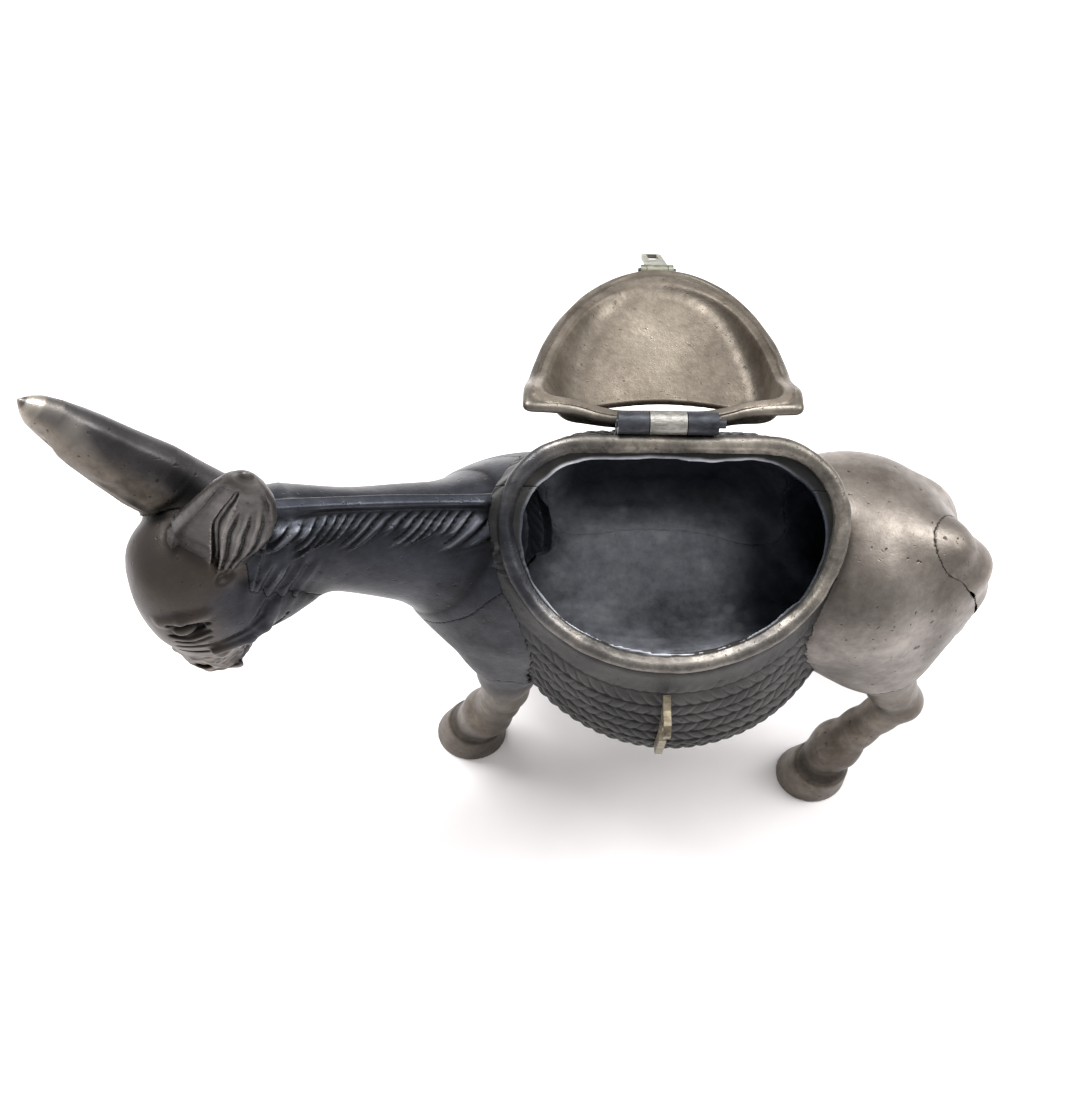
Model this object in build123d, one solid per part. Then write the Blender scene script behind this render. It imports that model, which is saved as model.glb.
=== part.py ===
from build123d import *
import os
from math import atan2, cos, degrees, hypot, radians, sin

# Donkey coin bank: thin white-metal castings soldered together, with a steel hinge, a lid and a hasp.
# Millimetres. +Z is up, the hooves stand on z = 0, the head points to -X and the near side faces -Y.
# The origin is under the middle of the bank's outline with the lid folded open.

# ---------------------------------------------------------------- driving dimensions
SHIFT_X = -1.0          # moves the middle of the outline to x = 0
SHIFT_Y = -13.1         # moves the middle of the outline to y = 0
WALL = 2.2              # casting wall of the body and pack

OPENING_TILT = 35.0     # the opening slopes down to the near side
OPENING_X = 21.2        # middle of the opening along the body
OPENING_FAR = (6.5, 96.2)   # y and z of the far edge of the opening
OPENING_WIDTH = 58.0
OPENING_DEPTH = 39.2
RIM_BEAD_R = 1.3

LID_X = 19.6            # middle of the lid and of its hinge along the body
LID_SWING = 231.5       # from folded back on its stop to shut
LID_GAP = 0.15          # between the shut lid and the rim bead
LID_BEAD_R = 1.0
LID_WALL = 1.3
LID_WIDTH = 47.6
LID_LENGTH = 39.2
LID_EDGE_Y = -0.3       # straight edge of the lid, just short of the knuckles

PIN_V = -2.3            # hinge axis, behind the far edge of the opening
PIN_H = 0.7             # hinge axis, above the plane of the opening
PIN_R = 0.8
KNUCKLE_R = 1.9
KNUCKLE_FIT = 0.06      # radial running clearance on the pin
KNUCKLE_GAP = 0.15      # end clearance between knuckles
CENTRE_KNUCKLE = 6.0    # length of the lid's knuckle
SIDE_KNUCKLE = 5.0      # length of each knuckle on the body
LEAF_T = 0.8
RIVET_R = 0.9
BODY_RIVET_OUT = 6.5    # rivets of the body leaf, either side of the hinge's middle
BODY_RIVET_DOWN = 0.86  # how far down the leaf's foot the rivets stand
LID_RIVET_OUT = 2.9

SLOT_LENGTH = 33.0      # coin slot
SLOT_ARC_R = 48.0
SLOT_FROM_HINGE = 10.4
SLOT_WIDTH = 2.7

HASP_WIDTH = 3.8
HASP_LENGTH = 11.5
HASP_T = 0.8
HASP_KNUCKLE_R = 1.15
HASP_PIN_R = 0.5
HASP_FIT = 0.05
HASP_DROOP = 43.0       # angle below horizontal at which the stiff hasp rests
HASP_SLOT = (1.9, 5.6)
HASP_X = LID_X + 1.6    # the hasp and the staple stand a little to the rump side of the lid's middle

STAPLE_T = 1.3
STAPLE_EYE_R = 1.2
STAPLE_EYE = (-32.6, 65.9)  # y and z of the eye

HALF_SPACE = 400.0      # a box bigger than the bank, to split the pack along its middle seam
OUT = "parts"


# ---------------------------------------------------------------- shared shapes
def slope_plane(x, y, z, tilt):
    """A plane that slopes down to the near side by tilt; its local y runs up the slope."""
    t = radians(tilt)
    return Plane(origin=(x, y, z), x_dir=(1, 0, 0), z_dir=(0, -sin(t), cos(t)))


def d_face(plane, half_width, straight, widest, depth):
    """A D-shaped face. Its far edge is at local y = 0 and its round side is at y = -depth."""
    with BuildSketch(plane) as sketch:
        with BuildLine():
            Line((-straight, 0), (straight, 0))
            corner = half_width - straight
            EllipticalCenterArc((straight, -widest), corner, widest, start_angle=0, arc_size=90)
            EllipticalCenterArc((-straight, -widest), corner, widest, start_angle=90, arc_size=90)
            EllipticalCenterArc((0, -widest), half_width, depth - widest, start_angle=180, arc_size=180)
        make_face()
    return sketch.sketch


def ring_path(plane, half_width, straight, widest, depth):
    """The outline of a D-shaped face, as one wire."""
    return d_face(plane, half_width, straight, widest, depth).faces()[0].outer_wire()


def bead_on(path, radius):
    """A round bead swept along a closed wire."""
    start = path @ 0
    along = path % 0
    return sweep(Plane(origin=start, z_dir=along) * Circle(radius), path=path, transition=Transition.ROUND)


def ellipse_loft(stations):
    """A loft through ellipses. A station is (centre, direction, radius across, radius up)."""
    faces = []
    for centre, direction, across, up in stations:
        normal = Vector(*direction).normalized()
        side = normal.cross(Vector(0, 0, 1))
        if side.length < 0.35:
            side = Vector(1, 0, 0)
        side = (side - normal * side.dot(normal)).normalized()
        faces.append(Plane(origin=centre, x_dir=side, z_dir=normal) * Ellipse(across, up))
    return loft(faces)


def along_x(centre_z, x, across, up):
    return ((x, 0, centre_z), (1, 0, 0), across, up)


def limb(joints):
    """A leg: circles or ovals lofted down through its joints. A joint is (x, y, z, along x, along y)."""
    faces = [Plane(origin=(x, y, z)) * Ellipse(rx, ry) for x, y, z, rx, ry in joints]
    return loft(faces, ruled=True)


def strip(width, y0, z0, y1, z1, thickness):
    """A flat strip of metal between two points of a cross-section, width along x, centred on the line."""
    length = hypot(y1 - y0, z1 - z0)
    angle = degrees(atan2(z1 - z0, y1 - y0))
    middle = Pos(0, (y0 + y1) / 2, (z0 + z1) / 2)
    return middle * Rot(angle, 0, 0) * Box(width, length, thickness)


def bar_x(radius, length, x=0.0, y=0.0, z=0.0):
    """A round bar along x."""
    return Pos(x, y, z) * Rot(0, 90, 0) * Cylinder(radius, length)


# ---------------------------------------------------------------- placing
def on_opening(shape):
    """Places a shape modelled over a level opening whose far edge is at y = 0, z = 0."""
    far_y, far_z = OPENING_FAR
    return Pos(0, far_y, far_z) * Rot(OPENING_TILT, 0, 0) * shape


def on_open_lid(shape):
    """Places a shape modelled on the shut lid, with the lid folded back."""
    swing = Pos(0, -PIN_V, PIN_H) * Rot(-LID_SWING, 0, 0) * Pos(0, PIN_V, -PIN_H)
    return on_opening(swing * shape)


# ---------------------------------------------------------------- body castings
TORSO = [(62.0, -20.5, 6.5, 8.5), (62.5, -14.0, 13.0, 16.0), (63.3, -3.0, 16.5, 20.0),
         (62.5, 22.0, 18.0, 21.0), (63.0, 46.0, 18.8, 20.6), (63.5, 60.0, 18.6, 19.8),
         (65.0, 70.0, 15.0, 16.5), (66.0, 77.5, 7.5, 9.0)]

PACK = [(OPENING_X, 6.5, 96.2, 35.0, 29.0, 15.0, 13.8, 39.2),
        (22.0, 13.4, 85.5, 24.4, 29.8, 13.0, 19.0, 46.6),
        (23.6, 24.0, 66.0, 10.3, 31.0, 11.0, 27.0, 56.0),
        (24.0, 24.0, 50.0, 4.3, 29.5, 10.0, 26.0, 53.6)]
THROAT = 1.4            # extra thickness of the pack's wall round the mouth
MOUTH_STEP = 0.8        # the pack's mouth sits this far inside the edge of the rim


def torso_solid(inset):
    return ellipse_loft([along_x(z, x + inset * (0.9 if x < 0 else -0.9) * (abs(x - 22) > 40),
                                 across - inset, up - inset) for z, x, across, up in TORSO])


def pack_solid(inset, lift):
    faces = []
    for row, (x, y, z, tilt, half, straight, widest, depth) in enumerate(PACK):
        edge = inset
        if row == 0:
            edge += THROAT if inset else MOUTH_STEP
        if row == 3:
            z += inset
        plane = slope_plane(x, y, z, tilt)
        if row == 0:
            plane = plane.offset(lift)
        shift = plane.y_dir * -edge
        plane = Plane(origin=plane.origin + shift, x_dir=plane.x_dir, z_dir=plane.z_dir)
        faces.append(d_face(plane, half - edge, straight - edge / 2, widest - edge / 2, depth - 2 * edge))
    return loft(faces)


def neck_solid(inset):
    direction = (-33.5, -6.2, 15.0)
    start, middle, end = (-7.5, -0.8, 69.5), (-25.0, -3.6, 77.5), (-43.5, -7.6, 86.0)
    return ellipse_loft([(start, direction, 13.6 - inset, 17.0 - inset),
                         (middle, direction, 9.9 - inset, 14.0 - inset),
                         (end, direction, 8.4 - inset, 11.4 - inset)])


HEAD_TURN = 30.0        # the face is turned to the near side by this much


def head_solid():
    """A loft from the poll down to the muzzle. Ovals are long from forehead to jaw."""
    rows = [(-51.5, -7.0, 98.0, 6.0, 5.5), (-52.8, -9.0, 92.5, 11.0, 9.4), (-55.0, -12.0, 83.0, 13.8, 10.6),
            (-56.3, -14.8, 74.0, 12.8, 9.4), (-57.5, -17.2, 66.0, 9.4, 7.2), (-58.2, -18.8, 59.5, 7.6, 6.4),
            (-58.4, -19.4, 55.6, 5.2, 4.6)]
    faces = [Plane(origin=(x, y, z)) * (Rot(0, 0, HEAD_TURN) * Ellipse(deep, wide))
             for x, y, z, deep, wide in rows]
    return loft(faces)


def ear_solid(base, tip, width, thickness, turn):
    """A leaf-shaped ear that is widest below its middle."""
    axis = Vector(*tip) - Vector(*base)
    normal = axis.normalized()
    side = Vector(cos(radians(turn)), sin(radians(turn)), 0)
    side = (side - normal * side.dot(normal)).normalized()
    faces = []
    rows = ((-0.04, 0.85, 0.9), (0.3, 1.0, 1.0), (0.62, 0.84, 0.8), (0.88, 0.5, 0.55), (0.985, 0.16, 0.25))
    for share, wide, thick in rows:
        plane = Plane(origin=Vector(*base) + axis * share, x_dir=side, z_dir=normal)
        faces.append(plane * Ellipse(width * wide, thickness * thick))
    return loft(faces)


# A joint of a leg is x, z, radius along the body and radius across it, from the sole up.
FORE_LEG = [(-12.8, 0.0, 7.4, 6.4), (-11.8, 6.5, 5.6, 5.2), (-10.2, 10.5, 4.6, 4.4),
            (-9.0, 14.0, 4.9, 4.7), (-7.0, 20.0, 3.9, 3.8), (-6.0, 28.0, 4.7, 4.6),
            (-5.8, 40.0, 5.8, 5.4), (-5.4, 52.0, 8.6, 5.6)]
HIND_LEG = [(60.2, 0.0, 7.4, 6.4), (61.2, 6.5, 5.6, 5.2), (62.4, 10.5, 4.7, 4.4),
            (63.6, 14.0, 4.9, 4.7), (67.0, 21.5, 4.0, 3.8), (72.0, 31.0, 5.0, 4.4),
            (69.5, 40.0, 6.8, 5.6), (65.0, 54.0, 10.5, 6.2)]


def leg_solid(joints, foot_y, body_y, step):
    """Bends the leg from its foot's y to the body's y, and moves it along the body by step at the foot."""
    top = joints[-1][1]
    placed = []
    for x, z, along, across in joints:
        up = z / top
        placed.append((x + step * (1 - up), foot_y + (body_y - foot_y) * up, z, along, across))
    return limb(placed)


def tail_solid():
    route = [((64.5, -2.6, 80.4), (1, -0.1, -0.2), 3.2), ((71.2, -3.6, 78.2), (1, -0.1, -0.7), 3.6),
             ((75.8, -4.4, 72.4), (0.35, -0.1, -1), 3.7), ((76.8, -4.8, 64.0), (-0.1, 0, -1), 3.8),
             ((75.2, -5.0, 54.0), (-0.3, 0, -1), 3.4), ((72.6, -5.0, 46.5), (-0.4, 0, -1), 1.6)]
    return ellipse_loft([(centre, direction, r, r) for centre, direction, r in route])


def rim_solid():
    inset = RIM_BEAD_R - 0.3
    plane = slope_plane(OPENING_X, -inset, 0, 0)
    path = ring_path(plane, OPENING_WIDTH / 2 - inset + 0.3, 15.0, 13.8 - inset, OPENING_DEPTH - 2 * inset)
    return on_opening(bead_on(path, RIM_BEAD_R))


def staple_solid():
    """The lock staple: a thin upright fin on the near side of the pack, with an eye for a padlock."""
    with BuildSketch(Plane.YZ) as side:
        with BuildLine():
            Polyline((-24.0, 69.5), (-28.5, 68.6), (-30.4, 67.9), (-33.0, 67.7), (-34.4, 66.3), (-34.3, 64.7),
                     (-33.6, 64.0), (-31.5, 63.4), (-31.2, 60.8), (-33.0, 59.8), (-32.9, 52.5), (-24.0, 51.0),
                     close=True)
        make_face()
    fin = Pos(HASP_X, 0, 0) * extrude(side.sketch, STAPLE_T / 2, both=True)
    eye = bar_x(STAPLE_EYE_R, 4 * STAPLE_T, HASP_X, STAPLE_EYE[0], STAPLE_EYE[1])
    return fin - eye


# ---------------------------------------------------------------- hinge, modelled on a level opening
def side_knuckle_x(side):
    return LID_X + side * (CENTRE_KNUCKLE / 2 + KNUCKLE_GAP + SIDE_KNUCKLE / 2)


BODY_LEAF = ((3.0, -0.6), (-0.1, -3.5), (0.05, -10.5))   # from the knuckles down the far slope of the pack


def body_leaf_solid():
    """The steel leaf on the far slope of the pack, with its two knuckles."""
    top, bend, foot = BODY_LEAF
    width = CENTRE_KNUCKLE + 2 * SIDE_KNUCKLE + 2 * KNUCKLE_GAP
    plate = Pos(LID_X, 0, 0) * strip(width, bend[0], bend[1], foot[0], foot[1], LEAF_T)
    leaf = plate
    for side in (-1, 1):
        x = side_knuckle_x(side)
        neck = Pos(x, 0, 0) * strip(SIDE_KNUCKLE, top[0], top[1], bend[0], bend[1] - 0.2, LEAF_T)
        leaf += neck + bar_x(KNUCKLE_R, SIDE_KNUCKLE, x, -PIN_V, PIN_H)
    relief = bar_x(KNUCKLE_R + 0.35, CENTRE_KNUCKLE + 2 * KNUCKLE_GAP, LID_X, -PIN_V, PIN_H)
    leaf -= relief
    leaf -= bar_x(PIN_R, 60, LID_X, -PIN_V, PIN_H)
    return on_opening(leaf)


def body_rivet_solids():
    """Dome-headed rivets through the body leaf into the pack."""
    bend, foot = BODY_LEAF[1], BODY_LEAF[2]
    angle = degrees(atan2(foot[1] - bend[1], foot[0] - bend[0]))
    rivets = []
    for side in (-1, 1):
        y = bend[0] + (foot[0] - bend[0]) * BODY_RIVET_DOWN
        z = bend[1] + (foot[1] - bend[1]) * BODY_RIVET_DOWN
        up_from_leaf = (Align.CENTER, Align.CENTER, Align.MIN)
        head = Pos(0, 0, LEAF_T / 2) * Cylinder(RIVET_R * 1.4, 0.3, align=up_from_leaf)
        shank = Pos(0, 0, -0.7) * Cylinder(RIVET_R, LEAF_T + 2.2)
        rivet = Pos(LID_X + side * BODY_RIVET_OUT, y, z) * Rot(angle, 0, 0) * (head + shank)
        rivets.append(on_opening(rivet))
    return rivets


def pin_solid():
    """The hinge pin. Its right end stands out of the last knuckle."""
    left = side_knuckle_x(-1) - SIDE_KNUCKLE / 2 - 0.3
    right = side_knuckle_x(1) + SIDE_KNUCKLE / 2 + 1.3
    return on_opening(bar_x(PIN_R, right - left, (left + right) / 2, -PIN_V, PIN_H))


# ---------------------------------------------------------------- lid, modelled shut on a level opening
FLANGE_H = RIM_BEAD_R + 0.3 + LID_GAP
HOOD_TILT = 12.5


def lid_outline(inset, height):
    return dict(plane=slope_plane(LID_X, LID_EDGE_Y - inset, height, 0), half_width=LID_WIDTH / 2 - inset,
                straight=18.8, widest=4.6 - inset, depth=LID_LENGTH - 2 * inset)


def hood_solid(inset, drop):
    """The hood between its foot on the flange and its sloping plate."""
    foot = d_face(slope_plane(LID_X, -1.2 - inset, FLANGE_H - drop, 0),
                  22.2 - inset, 16.6, 4.6 - inset / 2, 36.0 - 2 * inset)
    crown = slope_plane(LID_X, -7.0 - inset * 0.7, 10.4 - inset, HOOD_TILT)
    top = d_face(crown, 17.8 - inset * 0.8, 12.6, 4.6 - inset / 2, 29.0 - inset * 1.5)
    return loft([foot, top])


def lid_shell_solid():
    """The flange, the hood and the coin slot along the hood's crest."""
    flange = extrude(d_face(**lid_outline(LID_BEAD_R * 0.6, FLANGE_H)), LID_WALL)
    shell = flange + hood_solid(0, 0) - hood_solid(LID_WALL, 1.0)
    ring = Cylinder(SLOT_ARC_R + SLOT_WIDTH / 2, 12) - Cylinder(SLOT_ARC_R - SLOT_WIDTH / 2, 14)
    slot = Pos(LID_X, -SLOT_ARC_R - SLOT_FROM_HINGE, 8) * ring
    slot &= Pos(LID_X, -12, 8) * Box(SLOT_LENGTH, 24, 12)
    return on_open_lid(shell - slot - lid_bead_raw())


def lid_bead_raw():
    outline = lid_outline(LID_BEAD_R, FLANGE_H + LID_BEAD_R)
    return bead_on(ring_path(**outline), LID_BEAD_R)


LID_LEAF = ((1.4, 2.2), (-2.78, 4.78), (-5.35, 8.6))    # from the knuckle up the back of the hood


def lid_leaf_solid():
    """The lid's leaf: a centre knuckle and a plate up the back of the hood."""
    root, bend, end = LID_LEAF
    leaf = Pos(LID_X, 0, 0) * strip(CENTRE_KNUCKLE, root[0], root[1], bend[0] - 0.3, bend[1] + 0.1, LEAF_T)
    leaf += Pos(LID_X, 0, 0) * strip(CENTRE_KNUCKLE + 3, bend[0], bend[1], end[0], end[1], LEAF_T)
    leaf += bar_x(KNUCKLE_R, CENTRE_KNUCKLE, LID_X, -PIN_V, PIN_H)
    leaf -= bar_x(PIN_R + KNUCKLE_FIT, 60, LID_X, -PIN_V, PIN_H)
    return on_open_lid(leaf)


def lid_rivet_solids():
    """Rivets through the lid's leaf into the back of the hood."""
    _, bend, end = LID_LEAF
    angle = degrees(atan2(end[1] - bend[1], end[0] - bend[0]))
    rivets = []
    for side in (-1, 1):
        y = (bend[0] + end[0]) / 2
        z = (bend[1] + end[1]) / 2
        down_from_leaf = (Align.CENTER, Align.CENTER, Align.MAX)
        head = Pos(0, 0, -LEAF_T / 2) * Cylinder(RIVET_R * 1.3, 0.3, align=down_from_leaf)
        shank = Pos(0, 0, 0.4) * Cylinder(RIVET_R * 0.8, LEAF_T + 1.4)
        rivet = Pos(LID_X + side * LID_RIVET_OUT, y, z) * Rot(angle, 0, 0) * (head + shank)
        rivets.append(on_open_lid(rivet))
    return rivets


# ---------------------------------------------------------------- hasp, modelled on the shut lid
HASP_V = 42.4           # hasp axis, beyond the lid's tip
HASP_H = FLANGE_H + 1.5


def hasp_bracket_solid():
    """Two small eyes on a strap soldered to the lid's tip."""
    eye_w = 1.0
    bracket = Pos(HASP_X, 0, 0) * strip(6.0, -35.0, 4.6, -38.6, 4.2, 1.0)
    for side in (-1, 1):
        x = HASP_X + side * (HASP_WIDTH / 2 + 0.12 + eye_w / 2)
        arm = Pos(x, 0, 0) * strip(eye_w, -38.0, 4.2, -HASP_V + 0.2, HASP_H + 0.6, 1.0)
        bracket += arm + bar_x(HASP_KNUCKLE_R, eye_w, x, -HASP_V, HASP_H)
    bracket -= bar_x(HASP_PIN_R, 30, HASP_X, -HASP_V, HASP_H)
    return on_open_lid(bracket)


def hasp_pin_solid():
    return on_open_lid(bar_x(HASP_PIN_R, HASP_WIDTH + 3.2, HASP_X, -HASP_V, HASP_H))


def hasp_axis():
    """The y and z of the hasp's axis with the lid folded back."""
    centre = on_open_lid(Pos(HASP_X, -HASP_V, HASP_H) * Sphere(0.1)).center()
    return centre.Y, centre.Z


def hasp_solid():
    """The hasp: a knuckle and a slotted strip that rests drooping from the lid's tip."""
    y, z = hasp_axis()
    blade = Pos(0, HASP_LENGTH / 2, HASP_KNUCKLE_R - HASP_T / 2) * Box(HASP_WIDTH, HASP_LENGTH, HASP_T)
    blade += bar_x(HASP_KNUCKLE_R, HASP_WIDTH)
    tip = Pos(0, HASP_LENGTH, HASP_KNUCKLE_R - HASP_T / 2) * Cylinder(HASP_WIDTH / 2, HASP_T)
    blade += tip
    wide, long = HASP_SLOT
    blade -= Pos(0, HASP_LENGTH - long / 2 + 0.4, 0) * Box(wide, long, 8)
    blade -= bar_x(HASP_PIN_R + HASP_FIT, 30)
    return Pos(HASP_X, y, z) * Rot(-HASP_DROOP, 0, 0) * blade


# ---------------------------------------------------------------- assembly
def build():
    torso_out = torso_solid(0)
    pack_out = pack_solid(0, 0)
    pack_in = pack_solid(WALL, 0.4)
    neck_out = neck_solid(0)
    head_out = head_solid()

    nodes = {}
    torso = torso_out - torso_solid(WALL) - pack_in
    nodes["torso"] = torso
    shell = pack_out - pack_in - torso_out
    rim = rim_solid()
    shell -= rim
    half_space = Box(HALF_SPACE, HALF_SPACE, HALF_SPACE)
    nodes["pack_near"] = shell & (Pos(0, -HALF_SPACE / 2, 0) * half_space)
    nodes["pack_far"] = shell & (Pos(0, HALF_SPACE / 2, 0) * half_space)
    nodes["rim"] = rim
    nodes["neck"] = neck_out - neck_solid(WALL) - torso_out - pack_out
    nodes["head"] = head_out - neck_out
    nodes["ear_far"] = ear_solid((-56.5, -4.5, 92.0), (-78.3, 0.2, 115.0), 6.2, 4.6, 60) - head_out
    near_ear = ear_solid((-53.6, -13.3, 90.5), (-43.6, -14.3, 120.8), 7.2, 3.6, 10)
    nodes["ear_near"] = near_ear - head_out - neck_out
    blocks = torso_out + pack_out
    nodes["fore_leg_near"] = leg_solid(FORE_LEG, -10.6, -11.0, 0) - blocks
    nodes["fore_leg_far"] = leg_solid(FORE_LEG, 12.6, 10.5, 8.0) - blocks
    nodes["tail"] = tail_solid() - torso_out
    nodes["hind_leg_near"] = leg_solid(HIND_LEG, -19.6, -11.5, 0) - blocks - nodes["tail"]
    nodes["hind_leg_far"] = leg_solid(HIND_LEG, 13.5, 11.5, -5.0) - blocks - nodes["tail"]
    nodes["staple"] = staple_solid() - pack_out
    rivets = body_rivet_solids()
    leaf = body_leaf_solid() - pack_out - rim
    for rivet in rivets:
        leaf -= rivet
        nodes["pack_far"] -= rivet
    nodes["body_hinge_leaf"] = leaf
    nodes["body_hinge_rivets"] = Compound(rivets)
    nodes["hinge_pin"] = pin_solid()
    shell = lid_shell_solid()
    lid_rivets = lid_rivet_solids()
    lid_leaf = lid_leaf_solid() - shell
    bracket = hasp_bracket_solid() - shell
    for rivet in lid_rivets:
        lid_leaf -= rivet
        shell -= rivet
    nodes["lid_shell"] = shell
    nodes["lid_bead"] = on_open_lid(lid_bead_raw())
    nodes["lid_hinge_leaf"] = lid_leaf - nodes["lid_bead"]
    nodes["lid_hinge_rivets"] = Compound(lid_rivets)
    nodes["hasp_bracket"] = bracket - nodes["lid_bead"]
    nodes["hasp_pin"] = hasp_pin_solid()
    nodes["hasp"] = hasp_solid()
    return nodes


os.makedirs(OUT, exist_ok=True)
for name, shape in build().items():
    export_step(Pos(SHIFT_X, SHIFT_Y, 0) * shape, f"{OUT}/{name}.step")
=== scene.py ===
import math
from concurrent.futures import ThreadPoolExecutor

import bpy
import numpy as np
from mathutils import Matrix, Vector


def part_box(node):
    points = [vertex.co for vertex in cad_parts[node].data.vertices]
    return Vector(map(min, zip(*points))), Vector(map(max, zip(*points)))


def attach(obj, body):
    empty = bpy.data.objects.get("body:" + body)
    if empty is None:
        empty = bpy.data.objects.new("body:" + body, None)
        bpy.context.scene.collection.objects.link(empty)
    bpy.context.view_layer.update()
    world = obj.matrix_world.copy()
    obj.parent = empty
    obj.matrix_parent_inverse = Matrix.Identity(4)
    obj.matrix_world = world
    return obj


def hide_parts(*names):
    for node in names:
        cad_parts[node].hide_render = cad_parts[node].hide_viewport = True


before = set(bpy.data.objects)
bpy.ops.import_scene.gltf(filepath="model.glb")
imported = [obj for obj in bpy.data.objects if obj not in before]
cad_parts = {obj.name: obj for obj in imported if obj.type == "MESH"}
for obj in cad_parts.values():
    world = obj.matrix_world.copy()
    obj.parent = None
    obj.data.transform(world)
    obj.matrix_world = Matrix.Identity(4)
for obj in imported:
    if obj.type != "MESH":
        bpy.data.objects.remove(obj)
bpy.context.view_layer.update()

# The castings are sculpted as distance fields in millimetres and turned into meshes.
# x runs to the tail, -y to the near side and z up. The hinge pin ties the sculpture to the frame.
MM = 0.001
LID_X = 19.6
PIN_MIDDLE = np.array([20.1, 7.983, 98.093])
pin_low, pin_high = (np.array(corner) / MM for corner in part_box("hinge_pin"))
OFFSET = (pin_low + pin_high) / 2 - PIN_MIDDLE
GRID = 0.34
FINE = 0.26
WALL = 2.2
LID_WALL = 1.3
WORKERS = 4


# ---------------------------------------------------------------- distance fields
def length(v):
    return np.sqrt((v * v).sum(axis=-1))


def clamp(v, low, high):
    return np.minimum(np.maximum(v, low), high)


def ramp(v, low, high):
    """0 below low, 1 above high, smooth between."""
    t = clamp((v - low) / (high - low), 0, 1)
    return t * t * (3 - 2 * t)


def join(a, b, k):
    """Union with a fillet of about k."""
    h = np.maximum(k - np.abs(a - b), 0) / k
    return np.minimum(a, b) - h * h * k / 4


def carve(a, b, k):
    """a without b, with a rounded edge of about k."""
    return -join(-a, b, k)


def meet(a, b, k):
    """Intersection with a rounded edge of about k."""
    return -join(-a, -b, k)


def axes_of(forward, up=(0, 0, 1)):
    f = np.array(forward, float)
    f /= np.linalg.norm(f)
    s = np.cross(up, f)
    s /= np.linalg.norm(s)
    return f, s, np.cross(f, s)


def ellipsoid(p, centre, radii):
    q = p - np.array(centre)
    r = np.array(radii, float)
    k0 = length(q / r)
    k1 = length(q / (r * r)) + 1e-9
    return k0 * (k0 - 1) / k1


def cone(p, a, b, ra, rb):
    """A round-ended cone from a to b."""
    a, b = np.array(a, float), np.array(b, float)
    ab = b - a
    t = clamp(((p - a) @ ab) / (ab @ ab), 0, 1)
    return length(p - a - t[:, None] * ab) - (ra + (rb - ra) * t)


def chain(p, joints, k):
    """Cones joined end to end. A joint is (x, y, z, radius)."""
    out = None
    for (x0, y0, z0, r0), (x1, y1, z1, r1) in zip(joints, joints[1:]):
        d = cone(p, (x0, y0, z0), (x1, y1, z1), r0, r1)
        out = d if out is None else join(out, d, k)
    return out


def oval(u, v, a, b):
    """Signed distance, nearly, to an ellipse of radii a and b."""
    g = np.sqrt((u / a) ** 2 + (v / b) ** 2) + 1e-9
    slope = np.sqrt((u / a ** 2) ** 2 + (v / b ** 2) ** 2) / g + 1e-9
    return (g - 1) / slope


def d_shape(u, v, half, straight, widest, depth):
    """A D: straight far edge at v = 0, widest at v = widest, round end at v = depth."""
    near = oval(u, v - widest, half, depth - widest)
    corner = oval(np.maximum(np.abs(u) - straight, 0), v - widest, half - straight, widest)
    return np.where(v > widest, near, corner)


rng = np.random.default_rng(7)
WAVES = rng.normal(size=(14, 3))
WAVES /= np.linalg.norm(WAVES, axis=1)[:, None]
PHASES = rng.uniform(0, 2 * math.pi, 14)


def ripple(p, size):
    """Smooth uneven noise, about -1 to 1, with bumps of the given size."""
    total = np.zeros(len(p))
    for i, (wave, phase) in enumerate(zip(WAVES, PHASES)):
        scale = 2 * math.pi / (size * (1 + 0.13 * i))
        total += np.sin(p @ wave * scale + phase)
    return total / 5.0


# ---------------------------------------------------------------- fields to meshes
BLOCK = 8
BATCH = 40000


def spread(field, points):
    """Evaluates a field at many points, a batch to each worker."""
    batches = np.array_split(points, max(1, len(points) // BATCH))
    with ThreadPoolExecutor(WORKERS) as workers:
        return np.concatenate(list(workers.map(field, batches)))


def sample(field, low, high, step):
    """Evaluates a field on a grid, in full only near its surface."""
    counts = np.ceil((np.array(high, float) - low) / step / BLOCK).astype(int) + 1
    size = counts * BLOCK
    centres = [low[i] + (np.arange(counts[i]) + 0.5) * BLOCK * step for i in range(3)]
    mids = np.stack(np.meshgrid(*centres, indexing="ij"), axis=-1).reshape(-1, 3)
    coarse = field(mids)
    reach = BLOCK * step * 1.35 + 1.0
    near = (np.abs(coarse) < reach).reshape(counts)
    values = np.repeat(np.repeat(np.repeat(coarse.reshape(counts), BLOCK, 0), BLOCK, 1), BLOCK, 2)
    values = values.astype(np.float64)
    active = np.repeat(np.repeat(np.repeat(near, BLOCK, 0), BLOCK, 1), BLOCK, 2)
    where = np.argwhere(active)
    values[active] = spread(field, np.array(low) + where * step)
    return values.reshape(size)


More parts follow.
